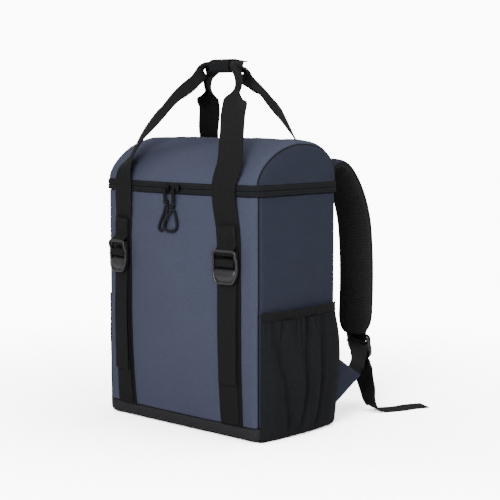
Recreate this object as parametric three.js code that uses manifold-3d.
// A cooler backpack: a padded tub of four panels on a boot, an arched lid closed by a zip band, webbing
// straps with ladder locks, a two-loop handle held by a wrap, side pockets and padded shoulder straps.
// Millimetres. X runs across the bag, -Y is its front, +Z is up, and the origin is the middle of its underside.
import * as THREE from "three";
import { mergeVertices } from "three/addons/utils/BufferGeometryUtils.js";
import Module from "manifold-3d";

const wasm = await Module();
wasm.setup();

// Driving sizes of the bag
const BAG_WIDTH = 300;
const BAG_DEPTH = 168.4;
const TUB_HEIGHT = 333.6;
const CORNER_RADIUS = 12;
const PANEL_WALL = 5;
const FRONT_CROWN = 15;
const SIDE_CROWN = 2.5;
const BACK_CROWN = 3;
const BOOT_HEIGHT = 20;
const BOOT_FLOOR = 5;
const ZIP_BAND = 15.5;
const BAND_PROUD = 2.5;
const LID_RISE = 60;
const LID_EDGE_DROP = 7;
const LID_ROUNDING = 14;
const RIDGE_SETBACK = 5;
const GUSSET_WALL = 4;

// Driving sizes of the webbing and what it carries
const WIDE_WEBBING = 38;
const WIDE_THICKNESS = 1.8;
const NARROW_WEBBING = 30;
const NARROW_THICKNESS = 1.6;
const STRAP_SPACING = 210;
const REAR_SPACING = 176;
const STRAP_LEAN = 6;
const SEW_TOP = TUB_HEIGHT - 39.6;
const LOCK_LEVEL = TUB_HEIGHT - 94.6;
const TAIL_LEVEL = { left: 74, right: 79 };
const HANDLE_RISE = 162;
const HANDLE_SHIFT = 9;
const WRAP_LENGTH = 38;
const WRAP_WALL = 2;
const WRAP_FLAP = 18;
const FOLD_BACK = 4;
const REAR_PROUD = 0.6;

// Driving sizes of the pockets, shoulder straps, tabs and pullers
const POCKET_HEIGHT = 178;
const POCKET_SWELL = 13;
const POCKET_CLOTH = 1.5;
const ELASTIC_BAND = 12;
const ELASTIC_THICKNESS = 2.4;
const SHOULDER_WIDTH = 60;
const SHOULDER_PADDING = 14;
const SHOULDER_SPACING = 200;
const TAB_CLOTH = 3;
const CORD_DIAMETER = 4.2;
const SLIDER_AT = [-3, 17];

// Clearances
const SEAM_GAP = 0.3;
const LAY_GAP = 0.35;

// What the sizes above fix
const halfWidth = BAG_WIDTH / 2;
const halfDepth = BAG_DEPTH / 2;
const cornerX = halfWidth - CORNER_RADIUS;
const cornerY = halfDepth - CORNER_RADIUS;
const bandTop = TUB_HEIGHT + ZIP_BAND;
const wrapLevel = bandTop + HANDLE_RISE;
const seamTurn = THREE.MathUtils.radToDeg(SEAM_GAP / 2 / (CORNER_RADIUS - PANEL_WALL));
const FRONT_SEAM = 55;
const BACK_SEAM = 130;

const object = new THREE.Group();

const navyFace = new THREE.MeshStandardMaterial({ color: 0x4f5769, roughness: 0.85, metalness: 0 });
const navySide = new THREE.MeshStandardMaterial({ color: 0x363d4d, roughness: 0.85, metalness: 0 });
const blackCloth = new THREE.MeshStandardMaterial({ color: 0x25262a, roughness: 0.9, metalness: 0 });
const blackMesh = new THREE.MeshStandardMaterial({ color: 0x17181a, roughness: 0.95, metalness: 0 });
const blackWebbing = new THREE.MeshStandardMaterial({ color: 0x222326, roughness: 0.8, metalness: 0 });
const blackPlastic = new THREE.MeshStandardMaterial({ color: 0x1c1d1f, roughness: 0.45, metalness: 0 });
const darkMetal = new THREE.MeshStandardMaterial({ color: 0x3a3b3d, roughness: 0.35, metalness: 0.9 });

function addPiece(name, geometry, material) {
  const mesh = new THREE.Mesh(geometry, material);
  mesh.name = name;
  object.add(mesh);
  return mesh;
}

// Turns a surface given by points and faces outwards and makes it a geometry.
function closedGeometry(points, faces) {
  const volume = faces.reduce((sum, [a, b, c]) => {
    return sum + points[a].dot(new THREE.Vector3().crossVectors(points[b], points[c])) / 6;
  }, 0);
  const index = faces.flatMap(([a, b, c]) => (volume < 0 ? [a, c, b] : [a, b, c]));
  const geometry = new THREE.BufferGeometry();
  geometry.setFromPoints(points);
  geometry.setIndex(index);
  geometry.computeVertexNormals();
  return geometry;
}

// A wall between two grids of points, outer[column][row] and inner[column][row].
function wallBetween(outer, inner) {
  const columns = outer.length;
  const rows = outer[0].length;
  const points = [...outer.flat(), ...inner.flat()];
  const faces = [];
  const quad = (a, b, c, d) => faces.push([a, b, c], [a, c, d]);
  const face = (i, j) => i * rows + j;
  const back = (i, j) => columns * rows + face(i, j);
  const last = rows - 1;
  const end = columns - 1;
  for (let i = 0; i < end; i++) {
    for (let j = 0; j < last; j++) {
      quad(face(i, j), face(i + 1, j), face(i + 1, j + 1), face(i, j + 1));
      quad(back(i + 1, j + 1), back(i + 1, j), back(i, j), back(i, j + 1));
    }
    quad(face(i + 1, 0), face(i, 0), back(i, 0), back(i + 1, 0));
    quad(face(i, last), face(i + 1, last), back(i + 1, last), back(i, last));
  }
  for (let j = 0; j < last; j++) {
    quad(face(0, j), face(0, j + 1), back(0, j + 1), back(0, j));
    quad(face(end, j + 1), face(end, j), back(end, j), back(end, j + 1));
  }
  return closedGeometry(points, faces);
}

const steps = (from, to, count) => Array.from({ length: count + 1 }, (_, i) => from + ((to - from) * i) / count);
const point = (x, y, z) => new THREE.Vector3(x, y, z);
const smooth = (t) => THREE.MathUtils.smoothstep(t, 0, 1);

// A closed geometry as a solid that can be joined or cut, and back.
function toSolid(geometry) {
  const bare = geometry.index ? geometry.toNonIndexed() : geometry.clone();
  bare.deleteAttribute("normal");
  bare.deleteAttribute("uv");
  const merged = mergeVertices(bare, 1e-3);
  return new wasm.Manifold(
    new wasm.Mesh({
      numProp: 3,
      vertProperties: merged.attributes.position.array,
      triVerts: new Uint32Array(merged.index.array),
    }),
  );
}

function toGeometry(solid) {
  const { vertProperties, triVerts } = solid.getMesh();
  const geometry = new THREE.BufferGeometry();
  geometry.setAttribute("position", new THREE.BufferAttribute(vertProperties, 3));
  geometry.setIndex(new THREE.BufferAttribute(triVerts, 1));
  geometry.computeVertexNormals();
  return geometry;
}

// The front swells out from the boot up to half its height and keeps that crown to the zip.
const bellyShare = (z) => 0.03 + 0.97 * (1 - (1 - Math.min(1, (2 * z) / TUB_HEIGHT)) ** 2);
const frontCrown = (x, z) => FRONT_CROWN * bellyShare(z) * (1 - (x / halfWidth) ** 2);
const heightShare = (z) => Math.sin(Math.PI * THREE.MathUtils.clamp(z / TUB_HEIGHT, 0, 1));
const sideCrown = (y, z) => SIDE_CROWN * heightShare(z) * (1 - (y / halfDepth) ** 2);
const backCrown = (x, z) => BACK_CROWN * heightShare(z) * (1 - (x / halfWidth) ** 2);

// The plan outline from one heading to another, in degrees from the front by way of the right side: arcs at
// the corners and, where it passes a multiple of 90, the straight side that faces that way.
function outlineWalk(from, to, straightSteps, cornerSteps) {
  const samples = [];
  const addCorner = (a, b) => {
    const quarter = THREE.MathUtils.euclideanModulo(Math.floor((a + b) / 180), 4);
    const centreX = quarter < 2 ? cornerX : -cornerX;
    const centreY = quarter === 1 || quarter === 2 ? cornerY : -cornerY;
    steps(a, b, cornerSteps).forEach((heading) => {
      const angle = THREE.MathUtils.degToRad(heading);
      samples.push({ centreX, centreY, nx: Math.sin(angle), ny: -Math.cos(angle) });
    });
  };
  let heading = from;
  for (let facing = (Math.floor(from / 90) + 1) * 90; facing < to; facing += 90) {
    addCorner(heading, facing);
    const { centreX, centreY, nx, ny } = samples[samples.length - 1];
    const endX = nx * nx > 0.5 ? centreX : -centreX;
    const endY = nx * nx > 0.5 ? -centreY : centreY;
    steps(0, 1, straightSteps)
      .slice(1, -1)
      .forEach((t) => {
        const x = centreX + (endX - centreX) * t;
        const y = centreY + (endY - centreY) * t;
        samples.push({ centreX: x, centreY: y, nx, ny });
      });
    heading = facing;
  }
  addCorner(heading, to);
  return samples;
}

// A point of the tub's side at a height, moved out of the cloth's outer face by a distance.
function tubPoint(sample, z, out) {
  const { centreX, centreY, nx, ny } = sample;
  const x = centreX + nx * CORNER_RADIUS;
  const y = centreY + ny * CORNER_RADIUS;
  const crownY = ny < 0 ? -frontCrown(x, z) : backCrown(x, z) * Math.min(1, 2 * ny);
  return point(x + nx * (out + sideCrown(y, z)), y + ny * out + crownY, z);
}

function tubWall(from, to, levels, outer, depth, straightSteps, cornerSteps) {
  const samples = outlineWalk(from + seamTurn, to - seamTurn, straightSteps, cornerSteps);
  const face = samples.map((sample) => levels.map((z) => tubPoint(sample, z, outer)));
  const lining = samples.map((sample) => levels.map((z) => tubPoint(sample, z, -depth)));
  return wallBetween(face, lining);
}

function addTub() {
  const levels = steps(BOOT_HEIGHT + SEAM_GAP, TUB_HEIGHT, 7);
  const sides = [
    ["front_panel", -FRONT_SEAM, FRONT_SEAM, navyFace, 12],
    ["side_panel_right", FRONT_SEAM, BACK_SEAM, navySide, 6],
    ["back_panel", BACK_SEAM, 360 - BACK_SEAM, blackMesh, 8],
    ["side_panel_left", 360 - BACK_SEAM, 360 - FRONT_SEAM, navySide, 6],
  ];
  sides.forEach(([name, from, to, material, straightSteps]) => {
    addPiece(name, tubWall(from, to, levels, 0, PANEL_WALL, straightSteps, 3), material);
  });
}

// The boot is a tray: a ring below the panels with a floor in it.
function addBoot() {
  const samples = outlineWalk(-45, 315, 8, 3).slice(0, -1);
  const plate = (low, high, out) => {
    const columns = samples.map((sample) => [low, high].map((z) => tubPoint(sample, z, out)));
    return toSolid(diskGeometry(columns, low, high));
  };
  const tray = plate(0, BOOT_HEIGHT, 0);
  const hollow = plate(BOOT_FLOOR, BOOT_HEIGHT + 1, -PANEL_WALL);
  addPiece("base_boot", toGeometry(tray.subtract(hollow)), blackCloth);
}

// A plate between two closed outlines of the same points, fanned from its axis.
function diskGeometry(columns, low, high) {
  const points = [...columns.flat(), point(0, 0, low), point(0, 0, high)];
  const count = columns.length;
  const faces = [];
  for (let i = 0; i < count; i++) {
    const next = (i + 1) % count;
    faces.push([2 * i, 2 * next, 2 * next + 1], [2 * i, 2 * next + 1, 2 * i + 1]);
    faces.push([2 * next, 2 * i, 2 * count], [2 * i + 1, 2 * next + 1, 2 * count + 1]);
  }
  return closedGeometry(points, faces);
}

// Two zip tapes run round the front and both sides, and a plain hinge strip closes the back.
function addZipBand() {
  const middle = TUB_HEIGHT + ZIP_BAND / 2;
  const lower = [TUB_HEIGHT + SEAM_GAP, middle - SEAM_GAP / 2];
  const upper = [middle + SEAM_GAP / 2, bandTop - SEAM_GAP];
  const tape = (levels) => tubWall(-BACK_SEAM, BACK_SEAM, levels, BAND_PROUD, PANEL_WALL, 12, 4);
  addPiece("zip_tape_lower", tape(lower), blackCloth);
  addPiece("zip_tape_upper", tape(upper), blackCloth);
  const hinge = [lower[0], upper[1]];
  addPiece("lid_hinge", tubWall(BACK_SEAM, 360 - BACK_SEAM, hinge, 0, PANEL_WALL, 8, 3), blackCloth);
}

const BAND_SEAM_INSET = 4;
const LID_FRONT_POWER = 1.75;
const LID_REAR_POWER = 2.5;

// The lid's arch from front to back at one place across the bag. It is a squarer curve behind the ridge than
// before it, its foot follows the front's crown, and depth moves a point into the cloth.
function lidArch(turn, x, swell, depth) {
  const foot = swell * BAND_SEAM_INSET - BAND_SEAM_INSET;
  const front = halfDepth + RIDGE_SETBACK + foot - depth;
  const rear = halfDepth - RIDGE_SETBACK + foot - depth;
  const rise = LID_RISE - LID_EDGE_DROP * (1 - swell) - depth;
  const ahead = turn < Math.PI / 2;
  const power = 2 / (ahead ? LID_FRONT_POWER : LID_REAR_POWER);
  const along = Math.abs(Math.cos(turn)) ** power;
  const up = Math.sin(turn) ** power;
  const crown = ahead ? FRONT_CROWN * (1 - (x / halfWidth) ** 2) * (1 - Math.sin(turn)) : 0;
  return point(x, RIDGE_SETBACK + (ahead ? -front * along - crown : rear * along), bandTop + rise * up);
}
const archTurns = steps(0, Math.PI, 17);
const seamX = halfWidth - GUSSET_WALL;

function addLid() {
  const reach = seamX - SEAM_GAP;
  const stations = [-1, -0.98, -0.93, -0.88, -0.5, 0, 0.5, 0.88, 0.93, 0.98, 1].map((s) => s * reach);
  const swellAt = (x) => {
    const into = THREE.MathUtils.clamp((reach - Math.abs(x)) / LID_ROUNDING, 0, 1);
    return Math.sqrt(1 - (1 - into) ** 2);
  };
  const grid = (depth) =>
    stations.map((x) => archTurns.map((turn) => lidArch(turn, x, swellAt(x), depth)));
  addPiece("lid_arch", wallBetween(grid(0), grid(PANEL_WALL)), navyFace);
  for (const [side, name] of [[-1, "lid_gusset_left"], [1, "lid_gusset_right"]]) {
    const turns = steps(0.06, Math.PI - 0.06, 16);
    const shares = [0, 0.5, 0.85, 1];
    const column = (turn, x) => {
      const edge = lidArch(turn, seamX, 0, 0);
      return shares.map((share) => {
        const bulge = GUSSET_WALL * (1 - share ** 3) * (1 - Math.abs(Math.cos(turn)) ** 12);
        const z = bandTop + (edge.z - bandTop) * share;
        return point(side * (x === 0 ? seamX : seamX + 1.5 + bulge), edge.y, z);
      });
    };
    const outer = turns.map((turn) => column(turn, 1));
    const inner = turns.map((turn) => column(turn, 0));
    addPiece(name, wallBetween(outer, inner), navySide);
  }
}

// Heights above the panel of each layer of webbing, to its middle
const wideLay = LAY_GAP + WIDE_THICKNESS / 2;
const wideFace = LAY_GAP + WIDE_THICKNESS;
const firstLay = LAY_GAP + NARROW_THICKNESS / 2;
const secondLay = firstLay + NARROW_THICKNESS + LAY_GAP;

// A place on the front straps' line: z up the bag, lift off the panel. The webbing lies along the tangent
// of the crown, so across is the direction of its width.
function frontLine(side, z, lift) {
  const lean = STRAP_LEAN * smooth((z - SEW_TOP + 32) / 80);
  const x = side * (STRAP_SPACING / 2 - lean);
  const slope = (2 * FRONT_CROWN * bellyShare(z) * x) / halfWidth ** 2;
  const across = point(1, slope, 0).normalize();
  const outward = point(across.y, -across.x, 0);
  const at = point(x, -halfDepth - frontCrown(x, z), z).addScaledVector(outward, lift);
  return { at, across };
}

function rearLine(side, z, lift) {
  const x = (side * REAR_SPACING) / 2;
  const at = point(x, halfDepth + backCrown(x, z) + lift, z);
  return { at, across: point(1, 0, 0) };
}

// Flat webbing through stations of a point and the direction of its width, mitred at its bends.
function ribbon(stations, width, thickness) {
  const outer = [];
  const inner = [];
  stations.forEach(({ at, across }, i) => {
    const before = stations[Math.max(0, i - 1)].at;
    const after = stations[Math.min(stations.length - 1, i + 1)].at;
    const into = at.clone().sub(before).normalize();
    const away = after.clone().sub(at).normalize();
    if (i === 0) into.copy(away);
    if (i === stations.length - 1) away.copy(into);
    const along = into.clone().add(away).normalize();
    const level = across.clone().addScaledVector(along, -across.dot(along)).normalize();
    const lift = new THREE.Vector3().crossVectors(level, along);
    const reach = thickness / 2 / Math.max(0.6, along.dot(away));
    const edges = (sign) => {
      const face = at.clone().addScaledVector(lift, sign * reach);
      return [-0.5, 0.5].map((s) => face.clone().addScaledVector(level, s * width));
    };
    outer.push(edges(1));
    inner.push(edges(-1));
  });
  return wallBetween(outer, inner);
}

// More stations on a smooth curve through the given ones.
function resample(stations, perSpan) {
  const curve = new THREE.CatmullRomCurve3(stations.map((row) => row.at), false, "centripetal");
  const spans = stations.length - 1;
  return steps(0, spans, spans * perSpan).map((t) => {
    const low = Math.min(spans - 1, Math.floor(t));
    const across = stations[low].across.clone().lerp(stations[low + 1].across, t - low).normalize();
    return { at: curve.getPoint(t / spans), across };
  });
}

// A ladder lock: a plate with two slots. Its top bar holds the fixed loop, its middle bar the strap.
const LOCK = { width: 40, height: 44, plate: 3.4, topBar: 5, barHigh: 9, barLow: 3, slot: 6, tail: 29 };
const LOOP_CLEARANCE = 0.55;
const barClear = LOOP_CLEARANCE + NARROW_THICKNESS / 2;
const lockBack = secondLay + NARROW_THICKNESS / 2 + LAY_GAP;
const lockFront = lockBack + LOCK.plate;
const topBarLow = LOCK.height / 2 - LOCK.topBar;

function lockGeometry() {
  const half = LOCK.width / 2;
  const top = LOCK.height / 2;
  const shape = new THREE.Shape();
  shape.moveTo(-half + 4, top);
  shape.quadraticCurveTo(-half + 1, top, -half + 1, top - 3);
  shape.lineTo(-half, -top * 0.2);
  shape.quadraticCurveTo(-half, -top * 0.5, -LOCK.tail / 2, -top);
  shape.lineTo(LOCK.tail / 2, -top);
  shape.quadraticCurveTo(half, -top * 0.5, half, -top * 0.2);
  shape.lineTo(half - 1, top - 3);
  shape.quadraticCurveTo(half - 1, top, half - 4, top);
  shape.closePath();
  const slotHalf = NARROW_WEBBING / 2 + 1.2;
  const addSlot = (low, high) => {
    const hole = new THREE.Path();
    hole.moveTo(-slotHalf, low);
    hole.lineTo(slotHalf, low);
    hole.lineTo(slotHalf, high);
    hole.lineTo(-slotHalf, high);
    hole.closePath();
    shape.holes.push(hole);
  };
  addSlot(LOCK.barHigh, topBarLow);
  addSlot(LOCK.barLow - LOCK.slot, LOCK.barLow);
  return new THREE.ExtrudeGeometry(shape, { depth: LOCK.plate, bevelEnabled: false, curveSegments: 4 });
}

// The loop goes down behind the top bar, round its lower edge and back up to where it is sewn.
const topBarTurn = [
  [topBarLow - barClear * 0.8, lockBack - barClear * 0.5],
  [topBarLow - barClear, (lockBack + lockFront) / 2],
  [topBarLow - barClear * 0.8, lockFront + barClear * 0.5],
  [topBarLow + 1.5, lockFront + barClear],
];

function loopPath(sewnTop) {
  const top = LOCK.height / 2;
  return [
    [sewnTop, firstLay],
    [top + 6, firstLay],
    [topBarLow + 1.5, firstLay + 0.6],
    ...topBarTurn,
    [top + 0.5, lockFront + barClear],
    [top + 7, secondLay],
    [sewnTop, secondLay],
  ];
}

// The strap comes up behind the lock, over its middle bar from behind, and down behind the lip.
const overMiddleBar = [
  [LOCK.barHigh - 1.5, firstLay + 0.6],
  [LOCK.barHigh + barClear * 0.8, lockBack - barClear * 0.5],
  [LOCK.barHigh + barClear, (lockBack + lockFront) / 2],
  [LOCK.barHigh + barClear * 0.8, lockFront + barClear * 0.5],
  [LOCK.barHigh - 1, lockFront + barClear],
  [LOCK.barLow - LOCK.slot * 0.25, lockFront + barClear],
  [LOCK.barLow - LOCK.slot * 0.85, secondLay],
  [-LOCK.height / 2, secondLay],
];

const sideName = (side) => (side < 0 ? "left" : "right");

function addFrontStraps() {
  for (const side of [-1, 1]) {
    const place = (u, n) => frontLine(side, LOCK_LEVEL + u, wideFace + n);
    const sewnTop = SEW_TOP - LOCK_LEVEL;
    const foot = BOOT_HEIGHT + 3 - LOCK_LEVEL;
    const tailEnd = TAIL_LEVEL[sideName(side)] - LOCK_LEVEL;
    const up = steps(foot, -LOCK.height / 2, 8).slice(0, -1).map((u) => [u, firstLay]);
    const hang = Math.abs(tailEnd) - LOCK.height / 2;
    const down = steps(0, 1, 7).slice(1).map((t) => [
      -LOCK.height / 2 - hang * t,
      secondLay + 1.6 * Math.sin(Math.PI * t),
    ]);
    const name = sideName(side);
    const webbing = (path) => ribbon(path.map(([u, n]) => place(u, n)), NARROW_WEBBING, NARROW_THICKNESS);
    const behind = [
      [-LOCK.height / 2, firstLay],
      [LOCK.barLow, firstLay],
    ];
    addPiece("lower_strap_" + name, webbing([...up, ...behind, ...overMiddleBar, ...down]), blackWebbing);
    addPiece("buckle_loop_" + name, webbing(loopPath(sewnTop)), blackWebbing);

    const { across } = place(0, 0);
    const rise = place(LOCK.height / 2, lockBack).at.sub(place(-LOCK.height / 2, lockBack).at).normalize();
    const outward = new THREE.Vector3().crossVectors(across, rise);
    const lock = addPiece("ladder_lock_" + name, lockGeometry(), blackPlastic);
    lock.quaternion.setFromRotationMatrix(new THREE.Matrix4().makeBasis(across, rise, outward));
    lock.position.copy(place(0, lockBack).at);
  }
}

// The free strands of the handle. out is a share of half the straps' spacing, fore one of the half depth
// with its crown, up one of the handle's rise above the zip band, turn the way the webbing faces in
// degrees from straight ahead, and fold how far it is folded in half lengthwise.
const STRANDS = {
  front_left: [
    { out: 0.933, fore: 0.968, up: 0.104, turn: 20, fold: 0.02 },
    { out: 0.902, fore: 0.877, up: 0.222, turn: 42, fold: 0.06 },
    { out: 0.842, fore: 0.744, up: 0.39, turn: 44, fold: 0.1 },
    { out: 0.691, fore: 0.553, up: 0.602, turn: 44, fold: 0.2 },
    { out: 0.55, fore: 0.372, up: 0.778, turn: 44, fold: 0.36 },
    { out: 0.355, fore: 0.212, up: 0.914, turn: 40, fold: 0.62 },
  ],
  front_right: [
    { out: 0.994, fore: 0.937, up: 0.164, turn: 12, fold: 0 },
    { out: 0.879, fore: 0.784, up: 0.391, turn: 16, fold: 0.03 },
    { out: 0.695, fore: 0.564, up: 0.598, turn: 22, fold: 0.14 },
    { out: 0.592, fore: 0.409, up: 0.729, turn: 32, fold: 0.4 },
    { out: 0.549, fore: 0.293, up: 0.822, turn: 42, fold: 0.97 },
    { out: 0.475, fore: 0.217, up: 0.896, turn: 36, fold: 1 },
  ],
  rear_left: [
    { out: 0.996, fore: 1.015, up: 0.185, turn: 3, fold: 0 },
    { out: 0.962, fore: 0.735, up: 0.365, turn: 6, fold: 0.04 },
    { out: 0.768, fore: 0.508, up: 0.616, turn: 12, fold: 0.1 },
    { out: 0.684, fore: 0.372, up: 0.748, turn: 30, fold: 0.4 },
    { out: 0.624, fore: 0.271, up: 0.837, turn: 42, fold: 0.97 },
    { out: 0.528, fore: 0.194, up: 0.903, turn: 36, fold: 1 },
  ],
  rear_right: [
    { out: 0.958, fore: 1.039, up: 0.191, turn: 8, fold: 0 },
    { out: 0.801, fore: 0.948, up: 0.367, turn: 40, fold: 0.05 },
    { out: 0.631, fore: 0.748, up: 0.584, turn: 44, fold: 0.3 },
    { out: 0.519, fore: 0.501, up: 0.76, turn: 44, fold: 0.6 },
    { out: 0.299, fore: 0.304, up: 0.891, turn: 34, fold: 0.97 },
  ],
};
const GRIP_PARTING = 10;
const gripHalf = WIDE_THICKNESS / 2 + FOLD_BACK / 2 + 0.3;
const leg = (WIDE_WEBBING - FOLD_BACK) / 2;
const GRIP = {
  front: { y: -leg / 2, z: wrapLevel + gripHalf + LAY_GAP },
  rear: { y: leg / 2, z: wrapLevel - gripHalf - LAY_GAP },
};

// One strand's stations, from the bag up to the middle of the wrap.
function strandStations(end, side) {
  const facing = end === "front" ? -1 : 1;
  const half = end === "front" ? STRAP_SPACING / 2 : REAR_SPACING / 2;
  const reach = end === "front" ? halfDepth + FRONT_CROWN : halfDepth;
  const grip = GRIP[end];
  const shift = (up) => HANDLE_SHIFT * up;
  const rows = STRANDS[end + "_" + sideName(side)];
  const gripX = HANDLE_SHIFT + (side * WRAP_LENGTH) / 2;
  const table = rows.map((row) => ({
    at: point(side * half * row.out + shift(row.up), 0, bandTop + HANDLE_RISE * row.up),
    fore: facing * reach * row.fore,
    turn: row.turn,
    fold: row.fold,
  }));
  table.forEach((row) => row.at.setY(row.fore + grip.y * ((row.at.z - bandTop) / HANDLE_RISE) ** 4));
  const gripRow = (x) => ({ at: point(x, grip.y, grip.z), turn: 0, fold: 1 });
  const parted = point(gripX + side * GRIP_PARTING, facing * (leg + 1), grip.z);
  const inWrap = [2, -7, -WRAP_LENGTH / 2 + 0.5].map((reachOut) => gripRow(gripX + side * reachOut));
  return [...table, { at: parted, turn: 16, fold: 1 }, ...inWrap];
}

// The section of the handle's webbing: flat, or folded in half with both legs on its inner side.
function foldedSection(at, across, outward, fold, inward) {
  const angle = (Math.PI / 2) * fold;
  const half = FOLD_BACK / 2;
  const spine = [
    [-half - leg * Math.cos(angle), -leg * Math.sin(angle)],
    [-half, 0],
    [half, 0],
    [half + leg * Math.cos(angle), -leg * Math.sin(angle)],
  ];
  const lift = inward * (WIDE_THICKNESS / 2);
  const turnOf = [angle, angle / 2, -angle / 2, -angle];
  return spine.map(([a, b], i) => {
    const spread = i === 1 || i === 2 ? lift / Math.cos(angle / 2) : lift;
    const outA = a - Math.sin(turnOf[i]) * spread;
    const outB = b + Math.cos(turnOf[i]) * spread;
    return at.clone().addScaledVector(across, outA).addScaledVector(outward, outB);
  });
}

function handleLoop(end) {
  const facing = end === "front" ? -1 : 1;
  const line = end === "front" ? frontLine : rearLine;
  const sewn = end === "front"
    ? [...steps(BOOT_HEIGHT + 1, SEW_TOP, 8), TUB_HEIGHT - 8]
    : [...steps(SEW_TOP, TUB_HEIGHT, 2), bandTop];
  const clearOfBand = end === "front" ? BAND_PROUD + 0.6 : REAR_PROUD;
  const stations = [];
  for (const side of [-1, 1]) {
    const rising = sewn.map((z) => {
      const lift = wideLay + clearOfBand * smooth((z - SEW_TOP) / (TUB_HEIGHT - 8 - SEW_TOP));
      const { at, across } = line(side, z, lift);
      const turn = THREE.MathUtils.radToDeg(Math.atan2(Math.abs(across.y), Math.abs(across.x)));
      return { at, turn, fold: 0, sewn: true };
    });
    if (end === "front") {
      const { at } = line(side, bandTop, wideLay + clearOfBand);
      rising.push({ ...rising[rising.length - 1], at });
    }
    const strand = [...rising, ...strandStations(end, side)].map((row) => ({ ...row, side }));
    stations.push(...(side < 0 ? strand : strand.reverse()));
  }
  const firstFree = stations.findIndex((row) => !row.sewn);
  const freeCount = stations.filter((row) => !row.sewn).length;
  const free = stations.slice(firstFree - 1, firstFree + freeCount + 1);
  const curve = new THREE.CatmullRomCurve3(free.map((row) => row.at), false, "centripetal");
  const perSpan = 2;
  const spans = free.length - 1;
  const smoothFree = steps(0, spans, spans * perSpan).map((t) => {
    const low = Math.min(spans - 1, Math.floor(t));
    const mix = t - low;
    const blend = (key) => THREE.MathUtils.lerp(free[low][key], free[low + 1][key], mix);
    const signed = THREE.MathUtils.lerp(
      free[low].side * free[low].turn,
      free[low + 1].side * free[low + 1].turn,
      mix,
    );
    return { at: curve.getPoint(t / spans), turn: signed, fold: blend("fold") };
  });
  const flat = (row) => ({ at: row.at, turn: row.side * row.turn, fold: 0 });
  const all = [
    ...stations.slice(0, firstFree - 1).map(flat),
    ...smoothFree,
    ...stations.slice(firstFree + freeCount + 1).map(flat),
  ];
  const face = [];
  const lining = [];
  all.forEach((row, i) => {
    const before = all[Math.max(0, i - 1)].at;
    const after = all[Math.min(all.length - 1, i + 1)].at;
    const along = after.clone().sub(before).normalize();
    const angle = THREE.MathUtils.degToRad(row.turn);
    const heading = point(Math.sin(angle), facing * Math.cos(angle), 0);
    const across = new THREE.Vector3().crossVectors(along, heading).normalize();
    const outward = new THREE.Vector3().crossVectors(across, along).normalize();
    face.push(foldedSection(row.at, across, outward, row.fold, 1));
    lining.push(foldedSection(row.at, across, outward, row.fold, -1));
  });
  return wallBetween(face, lining);
}

// The wrap is a band round both loops at the grip, with its free flap standing out behind.
function addHandle() {
  addPiece("handle_front", handleLoop("front"), blackWebbing);
  addPiece("handle_rear", handleLoop("rear"), blackWebbing);
  const innerY = leg / 2 + WIDE_THICKNESS / 2 + LAY_GAP + 0.4;
  const innerZ = 2 * gripHalf + 2 * LAY_GAP + 0.4;
  const outerY = innerY + WRAP_WALL;
  const outerZ = innerZ + WRAP_WALL;
  const bend = 4;
  const shape = new THREE.Shape();
  shape.moveTo(-outerY, -outerZ + bend);
  shape.quadraticCurveTo(-outerY, -outerZ, -outerY + bend, -outerZ);
  shape.lineTo(outerY - bend, -outerZ);
  shape.quadraticCurveTo(outerY, -outerZ, outerY, -outerZ + bend);
  shape.lineTo(outerY, outerZ - WRAP_WALL);
  shape.lineTo(outerY + WRAP_FLAP, outerZ - WRAP_WALL - 1);
  shape.lineTo(outerY + WRAP_FLAP, outerZ - 1);
  shape.lineTo(outerY - bend, outerZ);
  shape.lineTo(-outerY + bend, outerZ);
  shape.quadraticCurveTo(-outerY, outerZ, -outerY, outerZ - bend);
  shape.closePath();
  const hole = new THREE.Path();
  hole.moveTo(-innerY, -innerZ);
  hole.lineTo(-innerY, innerZ);
  hole.lineTo(innerY, innerZ);
  hole.lineTo(innerY, -innerZ);
  hole.closePath();
  shape.holes.push(hole);
  const wrap = addPiece(
    "handle_wrap",
    new THREE.ExtrudeGeometry(shape, { depth: WRAP_LENGTH, bevelEnabled: false, curveSegments: 4 }),
    blackWebbing,
  );
  const basis = new THREE.Matrix4().makeBasis(point(0, 1, 0), point(0, 0, 1), point(1, 0, 0));
  wrap.quaternion.setFromRotationMatrix(basis);
  wrap.position.set(HANDLE_SHIFT - WRAP_LENGTH / 2, 0, wrapLevel);
}

// A pocket's cloth swells away from the side panel between its two sewn edges, under an elastic band.
function addPockets() {
  const seam = { front: FRONT_SEAM + 8, back: BACK_SEAM - 16 };
  const swell = (share, z) => {
    const across = Math.sin(Math.PI * THREE.MathUtils.clamp(share, 0, 1)) ** 0.6;
    const up = z / POCKET_HEIGHT;
    const lift = 0.55 + 0.45 * Math.sin(Math.PI * Math.min(1, up * 1.1)) - 0.05 * up;
    return LAY_GAP + POCKET_SWELL * across * lift;
  };
  for (const side of [-1, 1]) {
    const samples = outlineWalk(seam.front, seam.back, 10, 2);
    const mirrored = (p) => point(side * p.x, p.y, p.z);
    const build = (levels, thickness, rest) => {
      const grid = (out) =>
        samples.map((sample, i) => {
          const share = i / (samples.length - 1);
          return levels.map((z) => mirrored(tubPoint(sample, z, swell(share, z) + rest + out)));
        });
      return wallBetween(grid(thickness), grid(0));
    };
    const bandLow = POCKET_HEIGHT - ELASTIC_BAND;
    const cloth = build(steps(0.2, bandLow - SEAM_GAP, 7), POCKET_CLOTH, 0);
    addPiece("side_pocket_" + sideName(side), cloth, blackCloth);
    const rim = build([bandLow, (bandLow + POCKET_HEIGHT) / 2, POCKET_HEIGHT], ELASTIC_THICKNESS, 0);
    addPiece("pocket_elastic_" + sideName(side), rim, blackWebbing);
  }
}

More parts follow.
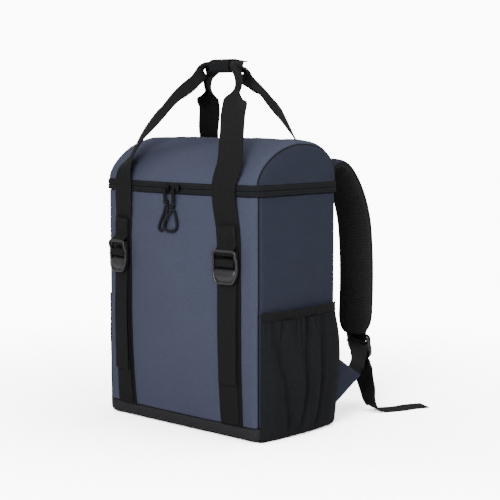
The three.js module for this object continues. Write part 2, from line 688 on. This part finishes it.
// A padded shoulder strap: out is a share of half its spacing, back a distance behind its seat as a share
// of the bag's depth, up a share of the tub's height, fat a share of the full padding.
const SHOULDER = [
  { out: 1, back: 0, up: 0.955, fat: 0.3 },
  { out: 1, back: 0.003, up: 1.01, fat: 0.35 },
  { out: 1, back: 0.037, up: 1.072, fat: 0.8 },
  { out: 1, back: 0.122, up: 1.113, fat: 1 },
  { out: 1, back: 0.252, up: 1.105, fat: 1 },
  { out: 1, back: 0.377, up: 1.05, fat: 1 },
  { out: 1, back: 0.492, up: 0.96, fat: 1 },
  { out: 1, back: 0.567, up: 0.855, fat: 1 },
  { out: 1, back: 0.602, up: 0.72, fat: 1 },
  { out: 1, back: 0.612, up: 0.57, fat: 1 },
  { out: 1, back: 0.602, up: 0.43, fat: 1 },
  { out: 1, back: 0.577, up: 0.335, fat: 0.65 },
];
const shoulderHalf = SHOULDER_SPACING / 2;
const sewnPad = (SHOULDER_PADDING / 2) * SHOULDER[0].fat;
const shoulderSeat = halfDepth + BACK_CROWN * 0.2 + wideFace + REAR_PROUD + LAY_GAP + sewnPad + 0.6;
const shoulderPoint = (side, { out, back, up }) =>
  point(side * shoulderHalf * out, shoulderSeat + BAG_DEPTH * back, TUB_HEIGHT * up);

// The strap's middle line with its cross direction and its outer side, t counting the table's rows.
function shoulderLine(side) {
  const centres = SHOULDER.map((row) => shoulderPoint(side, row));
  const curve = new THREE.CatmullRomCurve3(centres, false, "centripetal");
  const spans = SHOULDER.length - 1;
  return (t) => {
    const low = Math.min(spans - 1, Math.floor(t));
    const fat = THREE.MathUtils.lerp(SHOULDER[low].fat, SHOULDER[low + 1].fat, t - low);
    const along = curve.getTangent(t / spans);
    const across = point(1, 0, 0).addScaledVector(along, -along.x).normalize();
    const outward = new THREE.Vector3().crossVectors(across, along);
    return { at: curve.getPoint(t / spans), across, outward, thick: (SHOULDER_PADDING / 2) * fat };
  };
}

function addShoulderStraps() {
  const acrossShares = [-1, -0.9, -0.45, 0.45, 0.9, 1];
  const spans = SHOULDER.length - 1;
  const roundFrom = spans - 1;
  for (const side of [-1, 1]) {
    const line = shoulderLine(side);
    const stations = [...steps(0, roundFrom, roundFrom * 2), ...steps(roundFrom, spans, 4).slice(1)];
    const grids = stations.map((t) => {
      const { at, across, outward, thick } = line(t);
      const left = Math.min(1, spans - t);
      const half = (SHOULDER_WIDTH / 2) * (0.4 + 0.6 * Math.sqrt(1 - (1 - left) ** 2));
      return [1, -1].map((sign) =>
        acrossShares.map((s) => {
          const rise = sign * thick * (0.4 + 0.6 * Math.sqrt(1 - s ** 6));
          return at.clone().addScaledVector(across, s * half).addScaledVector(outward, rise);
        }),
      );
    });
    const geometry = wallBetween(grids.map(([face]) => face), grids.map(([, lining]) => lining));
    addPiece("shoulder_strap_" + sideName(side), geometry, blackMesh);
  }
}

// The lower ladder locks hang below the shoulder straps, leaning back and a little outwards.
const SHOULDER_LOCK = { out: 0.945, back: 0.7, up: 0.27, lean: 0.22, pitch: -0.5, rise: 0.84 };
const TAB = { length: 60, low: 27, high: 99, tip: 62.5, heading: 88, edge: 1.2 };
const FLOOR_LAY = LAY_GAP + NARROW_THICKNESS / 2;

// The tail that hangs from the lower lock: out is a share of half the bag's width, back a share of its depth
// behind the back, up a share of the lock's level, turn the heading of the webbing's width in degrees.
const TAIL = [
  { out: 0.715, back: 0.712, up: 0.56, turn: 0 },
  { out: 0.84, back: 0.625, up: 0.34, turn: -14 },
  { out: 0.95, back: 0.558, up: 0.14, turn: -24 },
  { out: 0.972, back: 0.574, up: 0.05, turn: -26 },
  { out: 1.005, back: 0.612, up: 0.01, turn: -27 },
  { out: 1.05, back: 0.68, up: 0, turn: -28 },
  { out: 1.107, back: 0.78, up: 0, turn: -24 },
  { out: 1.14, back: 0.9, up: 0, turn: -24 },
  { out: 1.213, back: 1.038, up: 0, turn: -36 },
];

function addLowerWebbing() {
  for (const side of [-1, 1]) {
    const name = sideName(side);
    const flip = (v) => point(side * v.x, v.y, v.z);
    const rowPoint = ({ out, back, up }, level) =>
      point(halfWidth * out, halfDepth + BAG_DEPTH * back, FLOOR_LAY + level * up);
    const middle = point(shoulderHalf * SHOULDER_LOCK.out, shoulderSeat + BAG_DEPTH * SHOULDER_LOCK.back, 0);
    middle.setZ(TUB_HEIGHT * SHOULDER_LOCK.up);
    const rise = point(SHOULDER_LOCK.lean, SHOULDER_LOCK.pitch, SHOULDER_LOCK.rise).normalize();
    const across = point(1, 0, 0).addScaledVector(rise, -rise.x).normalize();
    const outward = new THREE.Vector3().crossVectors(rise, across);
    const mid = (lockBack + lockFront) / 2;
    const place = (u, n) => ({
      at: middle.clone().addScaledVector(rise, u).addScaledVector(outward, n - mid),
      across,
    });

    const lock = addPiece("shoulder_lock_" + name, lockGeometry(), blackPlastic);
    const normal = new THREE.Vector3().crossVectors(flip(across), flip(rise));
    lock.quaternion.setFromRotationMatrix(new THREE.Matrix4().makeBasis(flip(across), flip(rise), normal));
    lock.position.copy(flip(middle)).addScaledVector(normal, -LOCK.plate / 2);

    const line = shoulderLine(1);
    const top = LOCK.height / 2;
    const onPad = (t, layer) => {
      const { at, outward: away, across: wide, thick } = line(t);
      const lift = thick + LAY_GAP + NARROW_THICKNESS / 2 + layer * (NARROW_THICKNESS + LAY_GAP);
      return { at: at.clone().addScaledVector(away, lift), across: wide };
    };
    const spans = SHOULDER.length - 1;
    const sewnFrom = spans - 1.2;
    const loop = [
      onPad(sewnFrom, 0.15),
      onPad(spans - 0.8, 0.15),
      onPad(spans - 0.4, 0.3),
      onPad(spans, 0.1),
      place(top - 1.5, lockBack - barClear - 0.5),
      place(topBarLow + 1.5, lockBack - barClear - 0.2),
      ...topBarTurn.map(([u, n]) => place(u, n)),
      place(top - 1, lockFront + barClear),
      place(top + 3, lockFront + barClear),
      onPad(spans - 0.35, 1.5),
      onPad(spans - 0.8, 1.15),
      onPad(sewnFrom, 1.15),
    ];
    const mirror = (stations) => stations.map((row) => ({ at: flip(row.at), across: flip(row.across) }));
    const webbing = (stations) => ribbon(mirror(stations), NARROW_WEBBING, NARROW_THICKNESS);
    addPiece("strap_end_loop_" + name, webbing(loop), blackWebbing);

    const seam = THREE.MathUtils.degToRad(BACK_SEAM - 90);
    const seat = CORNER_RADIUS + LAY_GAP;
    const root = point(cornerX + seat * Math.cos(seam), cornerY + seat * Math.sin(seam), 0);
    const way = THREE.MathUtils.degToRad(TAB.heading);
    const along = point(Math.cos(way), Math.sin(way), 0);
    const tip = root.clone().addScaledVector(along, TAB.length).setZ(TAB.tip);
    const high = root.clone().setZ(TAB.high);
    const low = root.clone().setZ(TAB.low);
    const edge = tip.clone().sub(high).normalize();
    const sideways = point(along.y, -along.x, 0);
    const tabFace = (sign) => {
      const shifted = (p) => flip(p.clone().addScaledVector(sideways, (sign * TAB_CLOTH) / 2));
      const offSeam = (p) => shifted(p.clone().addScaledVector(along, TAB_CLOTH / 2));
      return [
        [offSeam(low), offSeam(high)],
        [shifted(tip.clone().setZ(TAB.tip - TAB.edge)), shifted(tip)],
      ];
    };
    addPiece("corner_tab_" + name, wallBetween(tabFace(1), tabFace(-1)), navySide);

    const square = new THREE.Vector3().crossVectors(edge, sideways).normalize();
    if (square.z < 0) square.negate();
    const seatOut = LAY_GAP + 0.3;
    const start = tip.clone().addScaledVector(edge, -NARROW_WEBBING / 2 - 0.5);
    const pull = [0, 1].map((share) => start.clone().addScaledVector(square, seatOut + 10 * share));
    const enter = place(LOCK.barHigh + 2.6, lockBack - 5);
    const bow = 9;
    const twist = steps(0, 1, 7).slice(1, -1).map((share) => ({
      at: pull[1].clone().lerp(enter.at, share).addScaledVector(square, bow * Math.sin(Math.PI * share)),
      across: edge.clone().lerp(across, share).normalize(),
    }));
    const lip = place(-LOCK.height / 2 - 11, secondLay);
    const tailRows = TAIL.map((row) => {
      const heading = THREE.MathUtils.degToRad(row.turn);
      return { at: rowPoint(row, middle.z), across: point(Math.cos(heading), Math.sin(heading), 0) };
    });
    const tail = resample([lip, ...tailRows], 2);
    tail.forEach((row) => row.at.setZ(Math.max(FLOOR_LAY, row.at.z)));
    const run = [
      { at: pull[0], across: edge },
      { at: pull[1], across: edge },
      ...twist,
      enter,
      ...overMiddleBar.slice(2).map(([u, n]) => place(u, n)),
      ...tail,
    ];
    addPiece("adjusting_strap_" + name, webbing(run), blackWebbing);
  }
}

// The zip's two sliders with their puller tabs, knots and cord loops. The cords' routes are points chosen
// by hand: across the bag, distance in front of the front panel's cloth, and drop below the zip's middle.
const CORD_ROUTES = {
  left: [
    [-7.2, 2.5, 25.2], [-9.9, 2.5, 32.4], [-14.5, 2.5, 41.4], [-19.3, 2.5, 49.9], [-21.4, 2.5, 55.6],
    [-20.2, 2.5, 59.2], [-17, 2.5, 60.6], [-13.6, 2.5, 58.7], [-11, 2.5, 53.9], [-9.2, 2.5, 47.4],
    [-7, 2.5, 39.4], [-4.4, 2.6, 31.9], [-2.6, 2.9, 25.2],
  ],
  right: [
    [4.9, 3.1, 31.2], [1.4, 6.2, 36.9], [-2.8, 7.3, 44.4], [-5.7, 7.4, 50.9], [-5.4, 7.2, 56.2],
    [-1.8, 5.6, 59.2], [3, 3.4, 60.2], [8.2, 2.6, 59.6], [12.7, 2.5, 56.7], [14.6, 2.5, 51.9],
    [13.5, 2.5, 44.9], [11.6, 2.5, 37.9], [9.7, 2.8, 31.2],
  ],
};
const KNOTS = { left: [-4.9, 20], right: [7.1, 26] };
const KNOT = { radius: 4.2, height: 8 };
const SLIDER = { length: 11, height: 8.5, depth: 3.6 };
const PULLER = { width: 5.5, thickness: 1.4, hole: 1.4 };

function roundedPlate(width, height, depth, radius, holeAt, holeRadius) {
  const x = width / 2 - radius;
  const z = height / 2 - radius;
  const shape = new THREE.Shape();
  shape.absarc(x, z, radius, 0, Math.PI / 2);
  shape.absarc(-x, z, radius, Math.PI / 2, Math.PI);
  shape.absarc(-x, -z, radius, Math.PI, 1.5 * Math.PI);
  shape.absarc(x, -z, radius, 1.5 * Math.PI, 2 * Math.PI);
  if (holeRadius) {
    const hole = new THREE.Path();
    hole.absarc(0, holeAt, holeRadius, 0, 2 * Math.PI, true);
    shape.holes.push(hole);
  }
  return new THREE.ExtrudeGeometry(shape, { depth, bevelEnabled: false, curveSegments: 3 });
}

function addPullers() {
  const middle = TUB_HEIGHT + ZIP_BAND / 2;
  const section = new THREE.Shape(
    steps(0, 7, 7).map((i) => {
      const angle = (Math.PI * i) / 4;
      return new THREE.Vector2(Math.cos(angle), Math.sin(angle)).multiplyScalar(CORD_DIAMETER / 2);
    }),
  );
  ["left", "right"].forEach((name, i) => {
    const x = SLIDER_AT[i];
    const bandFace = -halfDepth - frontCrown(x, middle) - BAND_PROUD;
    const slider = addPiece(
      "zip_slider_" + name,
      roundedPlate(SLIDER.length, SLIDER.height, SLIDER.depth, 2.2),
      darkMetal,
    );
    slider.rotation.x = Math.PI / 2;
    slider.position.set(x, bandFace - LAY_GAP, middle);
    const [knotX, knotDrop] = KNOTS[name];
    const knotZ = middle - knotDrop;
    const knotTop = knotZ + KNOT.height / 2 + LAY_GAP;
    const hang = middle - knotTop;
    const puller = addPiece(
      "puller_" + name,
      roundedPlate(PULLER.width, hang, PULLER.thickness, 1.8, 3 - hang / 2, PULLER.hole),
      darkMetal,
    );
    puller.rotation.x = Math.PI / 2;
    puller.position.set((x + knotX) / 2, bandFace - 2 * LAY_GAP - SLIDER.depth, knotTop + hang / 2);
    const panelFace = (px, z) => -halfDepth - frontCrown(px, z);
    const knot = addPiece(
      "cord_knot_" + name,
      new THREE.LatheGeometry(
        [
          new THREE.Vector2(0, -KNOT.height / 2),
          new THREE.Vector2(KNOT.radius * 0.8, -KNOT.height * 0.36),
          new THREE.Vector2(KNOT.radius, 0),
          new THREE.Vector2(KNOT.radius * 0.75, KNOT.height * 0.34),
          new THREE.Vector2(0, KNOT.height / 2),
        ],
        10,
      ),
      blackWebbing,
    );
    knot.rotation.x = Math.PI / 2;
    knot.position.set(knotX, panelFace(knotX, knotZ) - KNOT.radius - LAY_GAP, knotZ);
    const route = CORD_ROUTES[name].map(([px, off, drop]) => {
      return point(px, panelFace(px, middle - drop) - off, middle - drop);
    });
    const cord = new THREE.ExtrudeGeometry(section, {
      steps: 18,
      extrudePath: new THREE.CatmullRomCurve3(route, false, "centripetal"),
      bevelEnabled: false,
    });
    addPiece("puller_cord_" + name, cord, blackWebbing);
  });
}

addTub();
addBoot();
addZipBand();
addLid();
addFrontStraps();
addHandle();
addPockets();
addShoulderStraps();
addLowerWebbing();
addPullers();

export default object;
